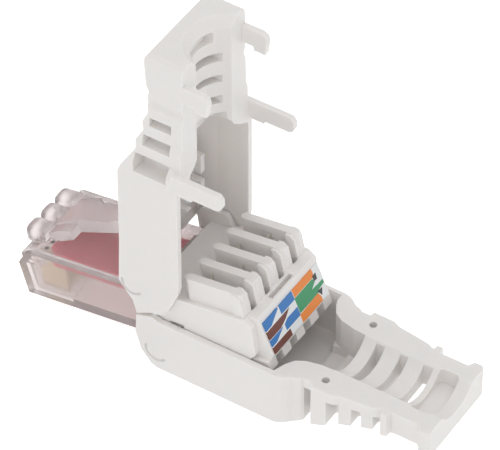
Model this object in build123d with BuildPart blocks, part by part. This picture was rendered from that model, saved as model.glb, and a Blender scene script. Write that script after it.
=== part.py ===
from build123d import *
import os

os.makedirs("parts", exist_ok=True)

# The plug is drawn closed and level, in millimetres: nose toward -X, cable end toward +X.
# At the end each body is set to the open pose of the photograph.

# widths, from the contacts outward
contact_pitch = 1.02
board_margin = 0.43
board_gap = 0.69
nose_wall = 1.15
plate_t = 0.66
wall_gap = 0.1
wall_t = 0.7
lid_step = 0.3
arm_t = 0.7
arm_sunk = 0.6
board_half = 3.5 * contact_pitch + board_margin
nose_half = board_half + board_gap + nose_wall
plate_half = nose_half + plate_t
wall_in = plate_half + wall_gap
wall_half = wall_in + wall_t
upper_in = wall_in - lid_step
arm_in = wall_half - arm_sunk

# heights of the block and of the lid over it
board_t = 1.0
mid_z = 8.0
slab_half = 2.8
tower_h = 3.0
roof_gap = 0.2
roof_t = 0.9
fork_drop = 0.8
slab_high = mid_z + slab_half
tower_high = slab_high + tower_h
lid_top = tower_high + roof_gap + roof_t
fork_tip = tower_high - fork_drop
board_low = mid_z - board_t / 2

# shells
rim_z = 7.15
lid_rim_z = 7.27
shell_peak = 7.5
tail_end = 51.2
floor_t = 1.0

# hinges
shell_pivot_x = 18.7
shell_pivot_z = 3.9
lid_pivot_x = 18.14
lid_pivot_z = 11.1
pin_r = 1.2
pin_gap = 0.06
pin_reach = 0.46
body_pitch = 8.55
lid_open = 81.45

# nose
nose_low = 3.2
nose_high = 9.8
nose_back = 17.4
finger_half = 1.12
finger_pitch = 2.72
blade_t = 0.36
blade_slot = 0.5

# contact block, board and wiring label
tower_margin = 1.02
tower_w = 1.0
wire_slot = 1.04
tower_front = 22.3
tower_back = 29.6
label_inset = 1.16
label_t = 0.14
board_back = 27.4
fork_t = 0.4
fork_gap = 0.12
fork_front = 24.0
fork_rear = 26.1

# cable clamp in the tail
groove_r = 3.7
shell_sag = 1.6
lid_sag = 2.2
slot_xs = [(39.5, 40.6), (42.5, 43.5), (45.4, 46.6)]
notch_xs = [(38.9, 40.3), (41.7, 42.9), (44.2, 45.1)]
window_tops = [12.9, 12.0, 11.3]
core_half = 4.2
rail_t = 1.35
rail_in = 2.9
arm_front = 35.15
arm_back = 37.2

# the origin lies on the ground under the middle of the open plug
mid_x = 24.97

# derived sizes
slab_low = 2 * mid_z - slab_high
tower_low = 2 * mid_z - tower_high
board_high = board_low + board_t
tower_pitch = (plate_half - tower_margin) / 2
tower_back_w = tower_pitch - wire_slot
fork_w = tower_pitch - tower_w - 2 * fork_gap
label_half = plate_half - label_inset
tower_ys = [i * tower_pitch for i in (-2, -1, 0, 1, 2)]
gap_ys = [(i + 0.5) * tower_pitch for i in (-2, -1, 0, 1)]
contact_ys = [(i + 0.5) * contact_pitch for i in range(-4, 4)]
shell_pivot = Pos(shell_pivot_x, 0, shell_pivot_z)
lid_pivot = Pos(lid_pivot_x, 0, lid_pivot_z)
ground = Pos(-mid_x, 0, 0)
plug_rest = ground * shell_pivot * Rot(0, -body_pitch, 0) * shell_pivot.inverse()
lid_rest = plug_rest * lid_pivot * Rot(0, -lid_open, 0) * lid_pivot.inverse()


# plane seen from the side at a given y, with x to the right and z up
def side(y=0.0):
    return Plane.XZ.offset(-y)


# clear nose with its latch and three rounded fingers
with BuildPart() as nose:
    with BuildSketch(side()):
        with BuildLine():
            Polyline(
                (1.1, nose_high), (-0.04, 9.3), (0.07, 8.8), (-0.68, 7.74), (-0.02, nose_low),
                (nose_back, nose_low), (nose_back, nose_high), close=True,
            )
        make_face()
    extrude(amount=nose_half, both=True)
    chamfer(nose.edges().filter_by(Axis.X).filter_by(lambda e: e.length > 10), length=0.35)
    # hollow for the board, open at the back
    with BuildSketch(Plane.YZ.offset(nose_back)):
        with Locations((0, 6.5)):
            Rectangle(2 * (nose_half - nose_wall), 4.8)
    extrude(amount=-(nose_back - 1.0), mode=Mode.SUBTRACT)
    # eight contact slots, open in front and below
    for y in contact_ys:
        with BuildSketch(side(y)):
            with BuildLine():
                Polyline((-2, 2), (5.2, 2), (5.2, 5.0), (2.0, 6.9), (-2, 6.9), close=True)
            make_face()
        extrude(amount=blade_slot / 2, both=True, mode=Mode.SUBTRACT)
    # latch, wide at its root and narrow toward its tail
    with BuildSketch(side()):
        with BuildLine():
            Polyline(
                (2.0, 9.6), (3.0, 9.78), (5.3, 10.8), (10.42, 12.47), (13.3, 13.3), (13.1, 14.2),
                (10.5, 14.4), (9.8, 13.75), (6.0, 12.74), (3.4, 11.7), (1.7, 10.7), close=True,
            )
        make_face()
    extrude(amount=1.62, both=True)
    with BuildSketch(side()):
        with BuildLine():
            Polyline((2.0, 9.6), (3.0, 9.78), (5.4, 10.84), (5.2, 12.0), (3.4, 11.4), (1.7, 10.5), close=True)
        make_face()
    extrude(amount=3.08, both=True)
    # fingers
    for y in (-finger_pitch, 0, finger_pitch):
        with BuildSketch(side(y)):
            with BuildLine():
                Polyline(
                    (2.1, 9.5), (2.0, 10.9), (1.5, 11.35), (0.3, 11.35), (-0.45, 10.8), (-0.5, 10.1), (0.3, 9.2),
                    close=True,
                )
            make_face()
        extrude(amount=finger_half, both=True)

# printed circuit board, notched at its front corners
with BuildPart() as circuit_board:
    with BuildSketch(Plane.XY.offset(board_low)):
        with BuildLine():
            Polyline(
                (3.2, board_half), (3.2, board_half - 0.8), (2.2, board_half - 0.8), (2.2, 0.8 - board_half),
                (3.2, 0.8 - board_half), (3.2, -board_half),
                (board_back, -board_half), (board_back, board_half), close=True,
            )
        make_face()
    extrude(amount=board_t)

# one plug contact, cut as a blade with a rounded nose
contacts = []
for i, y in enumerate(contact_ys):
    with BuildPart() as blade:
        with BuildSketch(side(y)):
            with BuildLine():
                Polyline((2.4, board_low), (1.0, 6.4), (0.7, 5.0), (1.0, 4.1), (2.0, 3.6), (4.4, 4.0), (4.4, board_low), close=True)
            make_face()
        extrude(amount=blade_t / 2, both=True)
    blade.part.label = f"plug_contact_{i + 1}"
    contacts.append(blade.part)

# moulded contact block with five towers above and five below
with BuildPart() as contact_block:
    # middle slab with the leaning face for the label
    with BuildSketch(side()):
        with BuildLine():
            Polyline(
                (17.5, slab_low), (31.9, slab_low), (32.3, 6.14), (31.25, 10.1), (30.9, slab_high),
                (17.5, slab_high), close=True,
            )
        make_face()
    extrude(amount=label_half + 0.3, both=True)
    # side plates between the shells
    with BuildSketch(side()):
        with BuildLine():
            Polyline(
                (15.8, 4.6), (17.2, slab_low - 2.7), (20.6, slab_low - 2.7), (21.6, slab_low), (29.6, slab_low), (30.6, 6.2),
                (30.6, 10.0), (29.8, slab_high), (20.4, slab_high), (19.8, 12.5), (16.6, 12.5), (15.8, 11.4), close=True,
            )
        make_face()
    extrude(amount=plate_half, both=True)
    # room between the side plates for the nose
    with BuildSketch(side()):
        with BuildLine():
            Polyline((15, 1), (17.5, 1), (17.5, 14), (15, 14), close=True)
        make_face()
    extrude(amount=nose_half + 0.02, both=True, mode=Mode.SUBTRACT)
    with BuildSketch(side()):
        with BuildLine():
            Polyline((17, slab_high), (21, slab_high), (21, 14), (17, 14), close=True)
            Polyline((17, slab_low), (21, slab_low), (21, 1), (17, 1), close=True)
        make_face()
    extrude(amount=nose_half + 0.02, both=True, mode=Mode.SUBTRACT)
    # plug of the block inside the nose
    with BuildSketch(Plane.YZ.offset(17.6)):
        with Locations((0, 6.5)):
            Rectangle(2 * (nose_half - nose_wall), 4.8)
    extrude(amount=-1.6)
    # towers
    for y in tower_ys:
        with BuildSketch(Plane.XY.offset(slab_low)):
            with Locations(((tower_front + tower_back) / 2, y)):
                RectangleRounded(tower_back - tower_front, tower_w, tower_w * 0.45)
        extrude(amount=slab_low - tower_low, dir=(0, 0, -1))
        with BuildSketch(Plane.XY.offset(slab_high)):
            with Locations(((tower_front + tower_back) / 2, y)):
                RectangleRounded(tower_back - tower_front, tower_w, tower_w * 0.45)
        extrude(amount=tower_high - slab_high)
    # wider tower backs
    for y in tower_ys:
        with BuildSketch(side(y)):
            with BuildLine():
                Polyline(
                    (tower_back - 1.3, slab_high - 0.2), (tower_back, slab_high - 0.2),
                    (tower_back - 0.2, tower_high - 0.6), (tower_back - 0.7, tower_high - 0.1),
                    (tower_back - 1.3, tower_high - 0.1), close=True,
                )
            make_face()
        extrude(amount=tower_back_w / 2, both=True)
        with BuildSketch(side(y)):
            with BuildLine():
                Polyline((29, slab_low + 0.2), (31.9, slab_low + 0.2), (32.1, 4.2), (31.2, 3.1), (29, 3.1), close=True)
            make_face()
        extrude(amount=0.75, both=True)
    # outermost tower backs cut flush, clear of the lid's wall
    for s in (-1, 1):
        with BuildSketch(Plane.XZ.offset(-s * (upper_in - 0.12))):
            with Locations((29, slab_high + 2.5)):
                Rectangle(4, 4.9)
        extrude(amount=2, dir=(0, s, 0), mode=Mode.SUBTRACT)
    # feet of the wire slots cut through beside the tower backs
    for y in gap_ys:
        with BuildSketch(Plane.XY.offset(slab_high)):
            with Locations((29.2, y)):
                RectangleRounded(0.9, tower_pitch - tower_back_w - 0.04, 0.2)
        extrude(amount=-1.4, mode=Mode.SUBTRACT)
    # groove behind the upper towers
    with BuildSketch(Plane.XY.offset(slab_high)):
        with Locations((30.3, 0)):
            Rectangle(0.6, 4.2)
    extrude(amount=-0.8, mode=Mode.SUBTRACT)
    # slot for the board and wells for the forked contacts
    with BuildSketch(Plane.YZ.offset(15.5)):
        with Locations((0, (board_low + board_high + 0.06) / 2)):
            Rectangle(2 * board_half + 0.1, board_t + 0.06)
    extrude(amount=board_back + 0.1 - 15.5, mode=Mode.SUBTRACT)
    for i, y in enumerate(gap_ys):
        up_x = fork_front if i % 2 == 0 else fork_rear
        low_x = fork_rear if i % 2 == 0 else fork_front
        with BuildSketch(Plane.XY.offset(board_low + 0.5)):
            with Locations((up_x, y)):
                Rectangle(fork_t + 0.1, fork_w + 0.06)
        extrude(amount=slab_high - board_low, mode=Mode.SUBTRACT)
        with BuildSketch(Plane.XY.offset(board_low + 0.5)):
            with Locations((low_x, y)):
                Rectangle(fork_t + 0.1, fork_w + 0.06)
        extrude(amount=-(board_low + 1.0 - slab_low), mode=Mode.SUBTRACT)
    # hinge pins
    for x, z in ((shell_pivot_x, shell_pivot_z), (lid_pivot_x, lid_pivot_z)):
        for s in (-1, 1):
            with BuildSketch(Plane.XZ.offset(-s * (plate_half - 0.2))):
                with Locations((x, z)):
                    Circle(pin_r)
            extrude(amount=pin_reach + 0.2, dir=(0, s, 0))
    # small window in each side plate
    for s in (-1, 1):
        with BuildSketch(Plane.XZ.offset(-s * plate_half)):
            with Locations((20.65, 6.6)):
                Rectangle(1.8, 1.2)
        extrude(amount=0.3, dir=(0, -s, 0), mode=Mode.SUBTRACT)

# forked contacts, four up and four down, standing on the board
forks = []
for i, y in enumerate(gap_ys):
    for up in (True, False):
        x = (fork_front if i % 2 == 0 else fork_rear) if up else (fork_rear if i % 2 == 0 else fork_front)
        foot = board_high if up else board_low
        tip = fork_tip if up else 2 * mid_z - fork_tip
        turn = 1 if up else -1
        with BuildPart() as fork:
            with BuildSketch(Plane.YZ.offset(x)):
                with BuildLine():
                    Polyline(
                        (y - fork_w / 2, foot), (y - fork_w / 2, tip - turn * 0.3), (y - fork_w / 2 + 0.15, tip),
                        (y - 0.12, tip - turn * 0.75), (y - 0.12, foot + turn * 1.0), (y + 0.12, foot + turn * 1.0),
                        (y + 0.12, tip - turn * 0.75), (y + fork_w / 2 - 0.15, tip), (y + fork_w / 2, tip - turn * 0.3),
                        (y + fork_w / 2, foot), close=True,
                    )
                make_face()
            extrude(amount=fork_t / 2, both=True)
        fork.part.label = f"wire_fork_{2 * i + (1 if up else 2)}"
        forks.append(fork.part)

# wiring label on the leaning face
with BuildPart() as wiring_label:
    with BuildSketch(side()):
        with BuildLine():
            Polyline((32.3, 6.14), (32.3 + label_t, 6.18), (31.25 + label_t, 10.14), (31.25, 10.1), close=True)
        make_face()
    extrude(amount=label_half, both=True)


# closed list of points on both sides of the middle line
def mirrored(points):
    return points + [(x, -y) for x, y in reversed(points)]


# points given by x and by how far they lie in from a half width
def set_in(half, points):
    return [(x, half - d) for x, d in points]


# outlines of one half seen from above
shell_plan = set_in(wall_half, [
    (14.0, 0), (32.9, 0), (33.7, 0.2), (34.3, 0.55), (34.7, 0.9), (35.6, 1.2), (35.8, 1.4), (36.9, 1.4),
    (37.05, 0.8), (39.6, 0.8), (40.4, 1.2), (43.0, 1.5), (44.4, 1.7), (45.0, 2.0), (45.2, 2.0), (45.3, 1.4),
    (46.0, 1.4), (46.15, 2.17), (49.55, 2.17), (49.95, 1.4), (50.9, 1.4), (tail_end, 1.8),
])
lid_plan = set_in(wall_half, [
    (13.0, 0), (36.4, 0), (36.9, 0.4), (37.4, 0.8), (39.6, 0.8), (40.4, 1.1), (43.4, 1.2), (44.2, 1.3),
    (44.6, 1.55), (45.0, 1.55), (45.4, 1.3), (50.3, 1.3), (50.9, 1.5), (tail_end, 2.0),
])
cavity_plan = set_in(wall_in, [(32.5, 0), (33.0, 1.4), (33.6, 2.4), (34.6, 3.0), (36.4, 3.4), (38.0, 3.5)])
lid_cavity_plan = set_in(wall_in, [(34.2, 0), (35.2, 1.6), (36.2, 2.8), (37.2, 3.4), (38.2, 3.5)])

# lower shell
with BuildPart() as lower_shell:
    with BuildSketch(side()):
        with BuildLine():
            Polyline(
                (15.4, 6.8), (15.3, 4.2), (16.0, 1.8), (17.1, 0.45), (17.9, 0.0), (32.9, 0.0), (34.9, 0.4),
                (37.5, 1.5), (40.6, 2.9), (43.5, 3.7), (47.0, 4.1), (49.4, 4.1), (49.9, 3.2), (tail_end, 3.3),
                (tail_end, rim_z), (18.3, rim_z), (17.3, shell_peak), close=True,
            )
        make_face()
    extrude(amount=wall_half + 0.3, both=True)
    with BuildSketch(Plane.XY.offset(-1)):
        with BuildLine():
            Polyline(*mirrored(shell_plan), close=True)
        make_face()
    extrude(amount=10, mode=Mode.INTERSECT)
    # lower corners cut back
    with BuildSketch(Plane.YZ.offset(14)):
        with BuildLine():
            Polyline((wall_half - 0.6, -1), (wall_half - 0.6, 0), (wall_half, 0.7), (wall_half + 1.7, 0.7), (wall_half + 1.7, -1), close=True)
        make_face()
        mirror(about=Plane.XZ)
    extrude(amount=22, mode=Mode.SUBTRACT)
    # cavity, its floor rising toward the tail
    with BuildSketch(Plane.XY.offset(floor_t)):
        with BuildLine():
            Polyline(*mirrored([(17.2, wall_in)] + cavity_plan[:3]), close=True)
        make_face()
    extrude(amount=10, mode=Mode.SUBTRACT)
    with BuildSketch(Plane.XY.offset(floor_t + 1.7)):
        with BuildLine():
            Polyline(*mirrored([(32.0, wall_in - 2.4)] + cavity_plan[2:]), close=True)
        make_face()
    extrude(amount=10, mode=Mode.SUBTRACT)
    with BuildSketch(Plane.XY.offset(floor_t + 0.6)):
        with Locations((34.0, 0)):
            Rectangle(3.6, 7.2)
    extrude(amount=2, mode=Mode.SUBTRACT)
    # rim thinned toward its outer edge
    with BuildSketch(Plane.YZ.offset(20.5)):
        with BuildLine():
            Polyline(
                (wall_in - 0.6, rim_z - 1.0), (wall_in, rim_z - 1.0), (wall_half - 0.22, rim_z + 0.85),
                (wall_in - 0.6, rim_z + 0.85), close=True,
            )
        make_face()
        mirror(about=Plane.XZ)
    extrude(amount=12.2, mode=Mode.SUBTRACT)
    # front opening for the nose
    with BuildSketch(Plane.XY.offset(2.3)):
        with Locations((16.5, 0)):
            Rectangle(4, 2 * wall_in)
    extrude(amount=10, mode=Mode.SUBTRACT)
    # cable groove with its cross slots
    with BuildSketch(Plane.YZ.offset(37.9)):
        with Locations((0, rim_z - shell_sag + groove_r)):
            Circle(groove_r)
    extrude(amount=tail_end - 37, mode=Mode.SUBTRACT)
    for x0, x1 in slot_xs:
        with BuildSketch(Plane.XY):
            with Locations(((x0 + x1) / 2, 0)):
                Rectangle(x1 - x0, 2 * rail_in)
        extrude(amount=10, mode=Mode.SUBTRACT)
    with BuildSketch(Plane.XY.offset(rim_z - shell_sag - 0.5)):
        with Locations((48.5, 0)):
            RectangleRounded(2.4, 6.6, 0.5)
    extrude(amount=10, mode=Mode.SUBTRACT)
    # notches between the teeth, under the rails
    for x0, x1 in [(35.85, 37.05)] + notch_xs:
        with BuildSketch(Plane.XY.offset(rim_z - rail_t)):
            with Locations(((x0 + x1) / 2, core_half + 2.6), ((x0 + x1) / 2, -core_half - 2.6)):
                RectangleRounded(x1 - x0, 5.2, 0.3)
        extrude(amount=-8, mode=Mode.SUBTRACT)
    # small holes in the rails
    with BuildSketch(Plane.XY.offset(rim_z)):
        with Locations((37.9, 4.84), (37.9, -4.84)):
            Circle(0.45)
    extrude(amount=-1.4, mode=Mode.SUBTRACT)
    # blind holes for the hinge pins
    for s in (-1, 1):
        with BuildSketch(Plane.XZ.offset(-s * (plate_half - 0.1))):
            with Locations((shell_pivot_x, shell_pivot_z)):
                Circle(pin_r + pin_gap)
        extrude(amount=pin_reach + 0.16, dir=(0, s, 0), mode=Mode.SUBTRACT)

# lid
with BuildPart() as lid:
    with BuildSketch(side()):
        with BuildLine():
            Polyline(
                (20.6, lid_rim_z), (19.5, 7.5), (16.8, 8.6), (16.0, 9.1), (15.5, 10.0), (15.35, 10.85),
                (14.35, lid_top - 2.2), (15.3, lid_top - 1.95), (16.15, lid_top - 1.7), (17.1, lid_top - 0.85),
                (18.3, lid_top), (34.3, lid_top), (35.4, lid_top - 0.4), (36.6, lid_top - 1.2), (38.0, 12.9), (39.4, 12.85), (40.9, 12.05), (42.0, 12.2), (43.5, 11.5), (44.9, 11.7),
                (46.4, 11.4), (47.3, 11.75), (50.8, 11.95), (tail_end, 11.7), (tail_end, lid_rim_z), close=True,
            )
        make_face()
    extrude(amount=wall_half + 0.3, both=True)
    with BuildSketch(Plane.XY.offset(5)):
        with BuildLine():
            Polyline(*mirrored(lid_plan), close=True)
        make_face()
    extrude(amount=12, mode=Mode.INTERSECT)
    # upper corners cut back
    with BuildSketch(Plane.YZ.offset(14)):
        with BuildLine():
            Polyline(
                (wall_half - 0.9, lid_top + 1.1), (wall_half - 0.9, lid_top), (wall_half - 0.25, lid_top - 0.7),
                (wall_half + 1.7, lid_top - 0.7), (wall_half + 1.7, lid_top + 1.1), close=True,
            )
        make_face()
        mirror(about=Plane.XZ)
    extrude(amount=22, mode=Mode.SUBTRACT)
    with BuildSketch(Plane.YZ.offset(45.7)):
        with BuildLine():
            Polyline(
                (wall_half - 2.7, 12.5), (wall_half - 2.7, 11.95), (wall_half - 1.2, 10.9), (wall_half, 10.9),
                (wall_half, 12.5), close=True,
            )
        make_face()
        mirror(about=Plane.XZ)
    extrude(amount=8, mode=Mode.SUBTRACT)
    # outer wall set in above the lip
    with BuildSketch(Plane.XY.offset(8.75)):
        with BuildLine():
            Polyline(
                (18.5, wall_half), (24.0, wall_half - 0.25), (38, wall_half - 0.25), (38, wall_half + 1.7),
                (18.5, wall_half + 1.7), close=True,
            )
        make_face()
        mirror(about=Plane.XZ)
    extrude(amount=8, mode=Mode.SUBTRACT)
    # cavity over the contact block
    with BuildSketch(Plane.XY.offset(5)):
        with BuildLine():
            Polyline(*mirrored([(12.0, wall_in)] + lid_cavity_plan), close=True)
        make_face()
    extrude(amount=6.2, mode=Mode.SUBTRACT)
    with BuildSketch(Plane.XY.offset(11.1)):
        with BuildLine():
            Polyline(*mirrored([(12.0, wall_in), (20.9, wall_in), (20.9, upper_in), (33.4, upper_in), (34.4, wall_in - 1.6)]), close=True)
        make_face()
    extrude(amount=lid_top - roof_t - 11.1, mode=Mode.SUBTRACT)
    with BuildSketch(Plane.YZ.offset(20.8)):
        with BuildLine():
            Polyline((upper_in - 0.1, 11), (wall_in, 11), (wall_in, 11.2), (upper_in, 13.2), (upper_in - 0.1, 13.2), close=True)
        make_face()
        mirror(about=Plane.XZ)
    extrude(amount=12.7, mode=Mode.SUBTRACT)
    # cable groove with its blind cross slots
    with BuildSketch(Plane.YZ.offset(36.9)):
        with Locations((0, lid_rim_z + lid_sag - groove_r)):
            Circle(groove_r)
    extrude(amount=tail_end - 36, mode=Mode.SUBTRACT)
    with BuildSketch(Plane.YZ.offset(tail_end - 1.2)):
        with Locations((0, lid_rim_z + lid_sag - groove_r)):
            Circle(groove_r)
    extrude(amount=1.3, taper=-35, mode=Mode.SUBTRACT)
    for x0, x1 in slot_xs:
        with BuildSketch(Plane.XY.offset(5)):
            with Locations(((x0 + x1) / 2, 0)):
                Rectangle(x1 - x0, 2 * rail_in)
        extrude(amount=5.9, mode=Mode.SUBTRACT)
    with BuildSketch(Plane.XY.offset(5)):
        with Locations((48.9, 0)):
            RectangleRounded(1.5, 4.4, 0.3)
    extrude(amount=4.9, mode=Mode.SUBTRACT)
    # windows between the teeth, between the rails and the back
    for (x0, x1), top in zip([(35.2, 37.5)] + notch_xs[:2], window_tops):
        with BuildSketch(Plane.XY.offset(lid_rim_z + rail_t)):
            with Locations(((x0 + x1) / 2, core_half + 2.6), ((x0 + x1) / 2, -core_half - 2.6)):
                RectangleRounded(x1 - x0, 4, 0.45)
        extrude(amount=top - lid_rim_z - rail_t, mode=Mode.SUBTRACT)
    # ribs that press the wires into the forks
    rib_top = lid_top - roof_t + 0.1
    rib_low = slab_high + 0.7
    for i, y in enumerate(gap_ys):
        up_x = fork_front if i % 2 == 0 else fork_rear
        with BuildSketch(side(y)):
            with BuildLine():
                Polyline(
                    (22.9, rib_top), (22.9, rib_low + 0.3), (23.2, rib_low), (up_x - 0.6, rib_low),
                    (up_x - 0.6, fork_tip + 0.3), (up_x + 0.6, fork_tip + 0.3), (up_x + 0.6, rib_low), (29.2, rib_low),
                    (29.2, rib_top), close=True,
                )
            make_face()
        extrude(amount=0.35, both=True)
    # arms beside the tail and hooks near its end
    for s in (-1, 1):
        with BuildSketch(Plane.XZ.offset(-s * arm_in)):
            with BuildLine():
                Polyline(
                    (arm_front - 0.35, 8.0), (arm_front - 0.35, 5.4), (arm_front, 5.2), (arm_front, 2.3),
                    (arm_front + 0.25, 1.85), (arm_front + 0.7, 1.65), (arm_back - 0.5, 1.7), (arm_back, 2.1),
                    (arm_back, 8.0), close=True,
                )
            make_face()
        extrude(amount=arm_t, dir=(0, s, 0))
        with BuildSketch(Plane.XZ.offset(-s * (wall_half - 2.05))):
            with BuildLine():
                Polyline(
                    (46.75, 8.6), (46.75, 5.85), (46.2, 5.75), (46.2, 4.35), (48.0, 4.15), (48.6, 4.35), (48.9, 4.9),
                    (48.9, 8.6), close=True,
                )
            make_face()
        extrude(amount=0.75, dir=(0, s, 0))
        with BuildSketch(Plane.XZ.offset(-s * (wall_half - 2.8))):
            with Locations((47.83, 8.1)):
                Rectangle(2.15, 1.6)
        extrude(amount=1.2, dir=(0, s, 0))
    # blind holes for the hinge pins
    for s in (-1, 1):
        with BuildSketch(Plane.XZ.offset(-s * (plate_half - 0.1))):
            with Locations((lid_pivot_x, lid_pivot_z)):
                Circle(pin_r + pin_gap)
        extrude(amount=pin_reach + 0.16, dir=(0, s, 0), mode=Mode.SUBTRACT)

# open pose and files
nose.part = nose.part.moved(plug_rest)
circuit_board.part = circuit_board.part.moved(plug_rest)
contact_block.part = contact_block.part.moved(plug_rest)
wiring_label.part = wiring_label.part.moved(plug_rest)
lid.part = lid.part.moved(lid_rest)
lower_shell.part = lower_shell.part.moved(ground)

nose.part.label = "nose"
circuit_board.part.label = "circuit_board"
contact_block.part.label = "contact_block"
wiring_label.part.label = "wiring_label"
lid.part.label = "lid"
lower_shell.part.label = "lower_shell"

export_step(nose.part, "parts/nose.step")
export_step(circuit_board.part, "parts/circuit_board.step")
export_step(contact_block.part, "parts/contact_block.step")
export_step(wiring_label.part, "parts/wiring_label.step")
export_step(lid.part, "parts/lid.step")
export_step(lower_shell.part, "parts/lower_shell.step")

for piece in contacts + forks:
    name = piece.label
    placed = piece.moved(plug_rest)
    placed.label = name
    export_step(placed, f"parts/{name}.step")
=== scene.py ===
import math
import bmesh
import bpy
import numpy as np
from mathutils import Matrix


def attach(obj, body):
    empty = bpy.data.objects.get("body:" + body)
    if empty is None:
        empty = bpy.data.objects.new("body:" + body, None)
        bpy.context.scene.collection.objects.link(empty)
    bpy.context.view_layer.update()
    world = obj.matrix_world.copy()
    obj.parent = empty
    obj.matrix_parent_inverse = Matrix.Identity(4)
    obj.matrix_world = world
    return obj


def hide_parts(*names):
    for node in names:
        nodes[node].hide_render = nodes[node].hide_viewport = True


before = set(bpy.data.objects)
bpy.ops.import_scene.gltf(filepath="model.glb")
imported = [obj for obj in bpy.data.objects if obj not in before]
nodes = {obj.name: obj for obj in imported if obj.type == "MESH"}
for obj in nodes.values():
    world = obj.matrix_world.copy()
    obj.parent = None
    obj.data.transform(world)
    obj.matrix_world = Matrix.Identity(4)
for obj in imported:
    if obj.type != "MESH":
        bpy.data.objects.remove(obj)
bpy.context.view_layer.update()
print("frame loaded,", len(nodes), "nodes")

mm = 0.001
# the closed, level drawing in millimetres: x of the frame's origin, and the hinge about which the open plug leans
midX = 24.97
pivotX, pivotZ = 18.7, 3.9
lean = math.radians(8.55)


class Sock:  # one shader value, with plain arithmetic
    def __init__(self, graph, out):
        self.graph = graph
        self.out = out

    def math(self, op, other=None, third=None):
        return self.graph.node("ShaderNodeMath", {"operation": op}, links=[self, other, third])

    def __add__(self, o):
        return self.math("ADD", o)

    def __sub__(self, o):
        return self.math("SUBTRACT", o)

    def __mul__(self, o):
        return self.math("MULTIPLY", o)

    __radd__ = __add__
    __rmul__ = __mul__

    def __rsub__(self, o):
        return self.math("MULTIPLY_ADD", -1.0, o)

    def above(self, level):
        return self.math("GREATER_THAN", level)

    def below(self, level):
        return self.math("LESS_THAN", level)

    def absolute(self):
        return self.math("ABSOLUTE")

    def clip(self):
        return self.math("MINIMUM", 1.0).math("MAXIMUM", 0.0)


class Graph:  # the nodes of one material or world
    def __init__(self, owner, shaderName="Principled BSDF"):
        owner.use_nodes = True
        self.owner = owner
        self.tree = owner.node_tree
        self.shader = self.tree.nodes[shaderName]

    def put(self, socket, value):
        if isinstance(value, Sock):
            self.tree.links.new(value.out, socket)
        elif isinstance(value, (tuple, list)) and socket.type == "RGBA":
            socket.default_value = (*value, 1.0)
        elif value is not None:
            socket.default_value = value

    # a node of this kind: settings first, then inputs by position or by name
    def node(self, kind, settings=None, links=(), out=0, **values):
        made = self.tree.nodes.new(kind)
        for k, v in (settings or {}).items():
            setattr(made, k, v)
        for i, v in enumerate(links):
            self.put(made.inputs[i], v)
        for k, v in values.items():
            self.put(made.inputs[k.replace("_", " ")], v)
        return Sock(self, made.outputs[out])

    def coords(self):
        return self.node("ShaderNodeTexCoord", out="Object")

    def millimetres(self):  # x, y and z in millimetres
        split = self.node("ShaderNodeSeparateXYZ", links=[self.coords()]).out.node
        return [Sock(self, o) * (1 / mm) for o in split.outputs]

    def noise(self, scale, detail=2.0):
        return self.node("ShaderNodeTexNoise", Vector=self.coords(), Scale=scale, Detail=detail, Roughness=0.5)

    def mix(self, amount, a, b):
        made = self.node("ShaderNodeMix", {"data_type": "RGBA"}, links=[amount], out=2)
        self.put(made.out.node.inputs[6], a)
        self.put(made.out.node.inputs[7], b)
        return made

    def set(self, **values):
        for k, v in values.items():
            self.put(self.shader.inputs[k.replace("_", " ")], v)

    def bump(self, height, strength, distance):
        self.set(Normal=self.node("ShaderNodeBump", Strength=strength, Distance=distance, Height=height))

    def seenRays(self):  # 1 for what the camera sees straight, mirrored or through clear plastic
        path = self.node("ShaderNodeLightPath").out.node
        seen = Sock(self, path.outputs["Is Camera Ray"])
        for name in ("Is Glossy Ray", "Is Transmission Ray"):
            seen = seen.math("MAXIMUM", Sock(self, path.outputs[name]))
        return seen


def material(name):
    return Graph(bpy.data.materials.new(name))


def distance(a, b):
    return (a * a + b * b).math("SQRT")


# white plastic, with moulded arcs around the hinge pins and a fine grain
whiteValues = {
    "tone": (0.885, 0.86, 0.84),
    "mottle": 0.02,
    "mottleScale": 900.0,
    "rough": 0.4,
    "roughSpread": 0.1,
    "glow": 0.6,
    "glowReach": 0.0003,
    "glowTints": (1.0, 0.9, 0.8),
    "grain": 0.05,
    "grainScale": 2600.0,
    "relief": 0.0002,
    "arcs": [(-9.97, 11.2, 1.3), (-7.07, 2.6, 1.34)],  # x, z and radius in millimetres
    "arcSharpness": 6.0,
    "arcOutside": 6.95,  # only on faces farther out than this
    "arcBelow": 0.25,
}
white = material("whitePlastic")
mottle = white.noise(whiteValues["mottleScale"], 3.0)
darker = tuple(c * (1 - whiteValues["mottle"]) for c in whiteValues["tone"])
white.set(Base_Color=white.mix(mottle, whiteValues["tone"], darker))
white.set(Roughness=mottle * whiteValues["roughSpread"] + whiteValues["rough"], IOR=1.5)
white.set(Subsurface_Weight=whiteValues["glow"], Subsurface_Radius=whiteValues["glowTints"])
white.set(Subsurface_Scale=whiteValues["glowReach"])
whiteX, whiteY, whiteZ = white.millimetres()
outside = whiteY.absolute().above(whiteValues["arcOutside"])
relief = white.noise(whiteValues["grainScale"]) * whiteValues["grain"]
for centreX, centreZ, radius in whiteValues["arcs"]:
    gapX = whiteX - centreX
    gapZ = whiteZ - centreZ
    away = (distance(gapX, gapZ) - radius).absolute()
    lowerLeft = (gapX * -0.5 - gapZ).above(whiteValues["arcBelow"])
    relief = relief - (1.0 - away * whiteValues["arcSharpness"]).math("MAXIMUM", 0.0) * outside * lowerLeft
white.bump(relief, 1.0, whiteValues["relief"])

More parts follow.
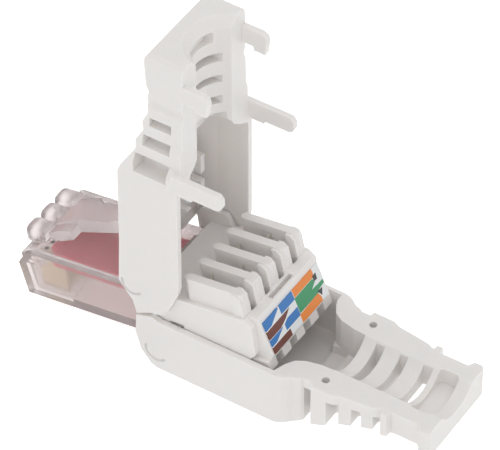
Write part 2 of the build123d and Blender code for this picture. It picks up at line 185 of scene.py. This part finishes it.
# clear plastic, hazier above the nose's top face, with painted shade darkening its sides, and two small marks near
# its front
clearValues = {
    "tone": (0.86, 0.8, 0.795),
    # the darker tone of the nose's sides is painted shade, and the width from which it starts follows it
    "sides": (0.76, 0.7, 0.68),
    "paintedShadeFrom": 5.7,
    "rough": 0.16,
    "roughSpread": 0.08,
    "frost": 0.35,
    "topFace": 5.9,  # height over the shell's hinge
    "clearness": 0.82,
    "dots": [(-23.06, -3.37), (-23.1, -4.49)],  # x and y in millimetres
    "dotTone": (0.12, 0.11, 0.1),
    "dotRadius": 0.26,
    "dotHeights": (6.9, 7.4),
}
clear = material("clearPlastic")
clearX, clearY, clearZ = clear.millimetres()
height = (clearX + (midX - pivotX)) * -math.sin(lean) + (clearZ - pivotZ) * math.cos(lean)
overTop = (height - clearValues["topFace"]).clip()
lowest, highest = clearValues["dotHeights"]
dots = 0.0
for dotX, dotY in clearValues["dots"]:
    dots = dots + distance(clearX - dotX, clearY - dotY).below(clearValues["dotRadius"])
dots = dots * clearZ.above(lowest) * clearZ.below(highest)
# past that width the nose's sides take the darker tone: painted shade, not a different plastic
withPaintedSideShade = clear.mix(clearY.absolute().above(clearValues["paintedShadeFrom"]), clearValues["tone"], clearValues["sides"])
clear.set(Base_Color=clear.mix(dots.clip(), withPaintedSideShade, clearValues["dotTone"]))
haze = clear.noise(500.0, 3.0) * clearValues["roughSpread"]
clear.set(Roughness=haze + overTop * clearValues["frost"] + clearValues["rough"])
clear.set(IOR=1.4, Transmission_Weight=clearValues["clearness"])
clear.bump(clear.noise(300.0, 1.0), 0.1, 0.00005)

boardValues = {"mask": (0.98, 0.008, 0.09), "rough": 0.35}
board = material("redBoard")
board.set(Base_Color=boardValues["mask"], Roughness=board.noise(700.0) * 0.1 + boardValues["rough"])

goldValues = {"tone": (0.9, 0.78, 0.56), "rough": 0.35}
forkValues = {"tone": (0.78, 0.76, 0.72), "rough": 0.3}


def metal(name, values):
    made = material(name)
    rough = made.noise(1500.0) * 0.1 + values["rough"]
    made.set(Base_Color=values["tone"], Roughness=rough, Metallic=1.0)
    return made


gold = metal("goldPlate", goldValues)
tin = metal("forkMetal", forkValues)

# wiring label: plain fields given by corners (y, way up the leaning face) in millimetres, clockwise
labelValues = {
    "paper": (0.82, 0.84, 0.85),
    "blue": (0.03, 0.19, 0.52),
    "brown": (0.16, 0.045, 0.03),
    "green": (0.03, 0.3, 0.12),
    "orange": (0.85, 0.25, 0.03),
    "black": (0.02, 0.03, 0.03),
    "rough": 0.35,
    "zeroX": 31.95,
    "zeroZ": 8.2,
    "upward": (-0.397, 0.918),
}
labelFields = [
    ("blue", [(-6, 2.95), (-6, 5), (-2.5, 4.1), (-2.5, 3.95), (-4.3, 3.0)]),
    ("blue", [(-2.3, 3.02), (-2.3, 5), (0.34, 5), (0.34, 3.02)]),
    ("brown", [(-6, 1.85), (-6, 2.86), (0.05, 2.92), (-1.9, 2.25), (-2.6, 1.82)]),
    ("blue", [(-6, 0.92), (-6, 1.78), (-2.7, 1.78), (-4.4, 0.98)]),
    ("blue", [(-2.45, 1.0), (-2.45, 1.8), (-1.7, 2.1), (0.3, 2.1), (0.3, 1.0)]),
    ("brown", [(-6, -1), (-6, 0.83), (-0.1, 0.86), (-1.9, 0.0), (-1.9, -1)]),
    ("green", [(0.34, 1.15), (0.34, 3.12), (3.9, 3.12), (4.15, 2.3), (4.15, 1.15)]),
    ("orange", [(0.4, 3.16), (0.4, 5), (4.3, 5), (4.3, 3.16)]),
    ("orange", [(0.2, -1), (0.2, 1.05), (3.9, 1.2), (4.2, 0.6), (4.2, -1)]),
    ("paper", [(3.3, 2.1), (3.9, 2.5), (6, 2.4), (6, 2.15)]),
    ("green", [(4.1, 1.4), (4.1, 2.05), (6, 2.05), (6, 1.7)]),
    ("black", [(4.0, 2.66), (4.0, 3.35), (4.7, 3.4), (4.62, 2.62)]),
    ("black", [(3.9, 1.42), (4.85, 1.35), (4.4, 0.55)]),
]
label = material("labelPrint")
labelX, across, labelZ = label.millimetres()
upX, upZ = labelValues["upward"]
rise = (labelX - (labelValues["zeroX"] - midX)) * upX + (labelZ - labelValues["zeroZ"]) * upZ


def field(corners):  # 1 inside a convex outline
    inside = 1.0
    for (u0, v0), (u1, v1) in zip(corners, corners[1:] + corners[:1]):
        inside = ((across - u0) * (v1 - v0) - (rise - v0) * (u1 - u0)).above(0.0) * inside
    return inside


printed = labelValues["paper"]
for colour, corners in labelFields:
    printed = label.mix(field(corners), printed, labelValues[colour])
label.set(Base_Color=printed, Roughness=labelValues["rough"])
print("materials made")

whiteNames = ("lid", "lower_shell", "contact_block")
ownMaterials = {"nose": clear, "circuit_board": board, "wiring_label": label}
for name, obj in nodes.items():
    if name in whiteNames:
        dress = white
    elif name.startswith("plug_contact"):
        dress = gold
    else:
        dress = ownMaterials.get(name, tin)
    obj.data.materials.clear()
    obj.data.materials.append(dress.owner)
print("nodes dressed")


def linked(name, data):
    obj = bpy.data.objects.new(name, data)
    bpy.context.scene.collection.objects.link(obj)
    return obj


def objectFrom(shape, name):  # takes a bmesh and frees it
    mesh = bpy.data.meshes.new(name)
    shape.to_mesh(mesh)
    shape.free()
    return linked(name, mesh)


def placed(x, y, z):  # from the drawing in millimetres to the open pose in metres
    dx, dz = x - pivotX, z - pivotZ
    placedX = pivotX - midX + math.cos(lean) * dx - math.sin(lean) * dz
    placedZ = pivotZ + math.sin(lean) * dx + math.cos(lean) * dz
    return placedX * mm, y * mm, placedZ * mm


# the nose again, with its three fingers rounded, in place of the CAD node
fingerValues = {
    "pitch": 2.72,
    "middle": (0.58, 10.22),
    "halfSizes": (1.34, 1.14, 1.12),
    "boxiness": 0.44,  # 1 is an ellipsoid, smaller is closer to a box
    "forward": 0.1,
    "cutWidth": 8.4,
    "cutOutline": [(1.7, 9.82), (1.1, 9.82), (-0.06, 9.31), (-1.2, 9.31), (-1.2, 12.5), (1.7, 12.5)],
}


def boxed(v):
    return math.copysign(abs(v) ** fingerValues["boxiness"], v)


def finger(middleY):
    middleX, middleZ = fingerValues["middle"]
    halfX, halfY, halfZ = fingerValues["halfSizes"]
    shape = bmesh.new()
    bmesh.ops.create_uvsphere(shape, u_segments=28, v_segments=18, radius=1.0)
    for v in shape.verts:
        along, aside, up = [boxed(c) if abs(c) > 1e-6 else 0.0 for c in v.co]
        atX = middleX + halfX * along + fingerValues["forward"] * up
        v.co = placed(atX, middleY + halfY * aside, middleZ + halfZ * up)
    bmesh.ops.recalc_face_normals(shape, faces=shape.faces)
    return objectFrom(shape, "finger")


def fingerCut():  # a prism over the plain fingers
    outline = fingerValues["cutOutline"]
    half = fingerValues["cutWidth"] / 2
    n = len(outline)
    shape = bmesh.new()
    corners = [shape.verts.new(placed(x, y, z)) for y in (-half, half) for x, z in outline]
    sides = [(i, (i + 1) % n, n + (i + 1) % n, n + i) for i in range(n)]
    for face in [tuple(range(n)), tuple(range(2 * n - 1, n - 1, -1))] + sides:
        shape.faces.new([corners[i] for i in face])
    bmesh.ops.recalc_face_normals(shape, faces=shape.faces)
    return objectFrom(shape, "fingerCut")


shape = bmesh.new()
shape.from_mesh(nodes["nose"].data)
bmesh.ops.remove_doubles(shape, verts=shape.verts, dist=1e-7)
roundedNose = objectFrom(shape, "roundedNose")
# the normals of the loose triangles don't fit the merged mesh
oldNormals = roundedNose.data.attributes.get("custom_normal")
if oldNormals:
    roundedNose.data.attributes.remove(oldNormals)
tools = [("DIFFERENCE", fingerCut())]
tools += [("UNION", finger(i * fingerValues["pitch"])) for i in (-1, 0, 1)]
for operation, tool in tools:
    step = roundedNose.modifiers.new("shape", "BOOLEAN")
    step.operation = operation
    step.object = tool
    step.solver = "EXACT"
depsgraph = bpy.context.evaluated_depsgraph_get()
finished = bpy.data.meshes.new_from_object(roundedNose.evaluated_get(depsgraph))
roundedNose.modifiers.clear()
roundedNose.data = finished
for operation, tool in tools:
    bpy.data.objects.remove(tool)
finished.materials.clear()
finished.materials.append(clear.owner)
finished.polygons.foreach_set("use_smooth", [True] * len(finished.polygons))
finished.set_sharp_from_angle(angle=math.radians(32))
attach(roundedNose, "plug")
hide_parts("nose")
print("nose rounded,", len(finished.polygons), "faces")

# a pale floor that shows as pure white, under an even sky and two soft lamps
lightValues = {
    "sky": 0.74,
    "seenSky": 1.0,
    "floorTone": (0.9, 0.9, 0.9),
    "floorGlow": 0.17,
    "seenFloorGlow": 0.75,
    "floorHalf": 3.0,
    "floorZ": -0.00002,
    "aim": (0.0, 0.0, 0.015),
    "lamps": [("keyLight", (0.05, -0.12, 0.6), 0.4, 0.26), ("fillLight", (0.25, -0.4, 0.38), 0.35, 0.14)],
}
half, floorZ = lightValues["floorHalf"], lightValues["floorZ"]
floorMesh = bpy.data.meshes.new("floor")
floorMesh.from_pydata(
    [(-half, -half, floorZ), (half, -half, floorZ), (half, half, floorZ), (-half, half, floorZ)], [], [(0, 1, 2, 3)]
)
floor = linked("floor", floorMesh)
floorWhite = material("floorWhite")
floorGlow = lightValues["floorGlow"]
glow = floorWhite.seenRays() * (lightValues["seenFloorGlow"] - floorGlow) + floorGlow
floorWhite.set(Base_Color=lightValues["floorTone"], Roughness=0.9)
floorWhite.set(Emission_Color=(1.0, 1.0, 1.0), Emission_Strength=glow)
floorMesh.materials.append(floorWhite.owner)

bpy.context.scene.world = bpy.data.worlds.new("sky")
sky = Graph(bpy.context.scene.world, "Background")
skyLevel = sky.seenRays() * (lightValues["seenSky"] - lightValues["sky"]) + lightValues["sky"]
sky.set(Color=(1.0, 1.0, 1.0), Strength=skyLevel)

for name, place, size, power in lightValues["lamps"]:
    lampData = bpy.data.lights.new(name, "AREA")
    lampData.size = size
    lampData.energy = power
    lamp = linked(name, lampData)
    lamp.location = place
    toX, toY, toZ = np.array(lightValues["aim"]) - np.array(place)
    lamp.rotation_euler = (math.atan2(math.hypot(toX, toY), -toZ), 0.0, math.atan2(toY, toX) - math.pi / 2)

# camera from the fitted view of the photograph, in the drawing's millimetres
cameraValues = {"place": (203.8, -280.3, 347.0), "down": 44.58, "turn": 32.49, "focalPixels": 4410, "photoWidth": 500}
cameraData = bpy.data.cameras.new("camera")
cameraData.sensor_width = 36.0
cameraData.sensor_fit = "HORIZONTAL"
cameraData.lens = cameraValues["focalPixels"] / cameraValues["photoWidth"] * cameraData.sensor_width
cameraData.clip_start = 0.01
camera = linked("camera", cameraData)
cameraX, cameraY, cameraZ = cameraValues["place"]
camera.location = ((cameraX - midX) * mm, cameraY * mm, cameraZ * mm)
camera.rotation_euler = (math.radians(90 - cameraValues["down"]), 0.0, math.radians(cameraValues["turn"]))
bpy.context.scene.camera = camera
bpy.context.scene.view_settings.view_transform = "Standard"
print("stage set")
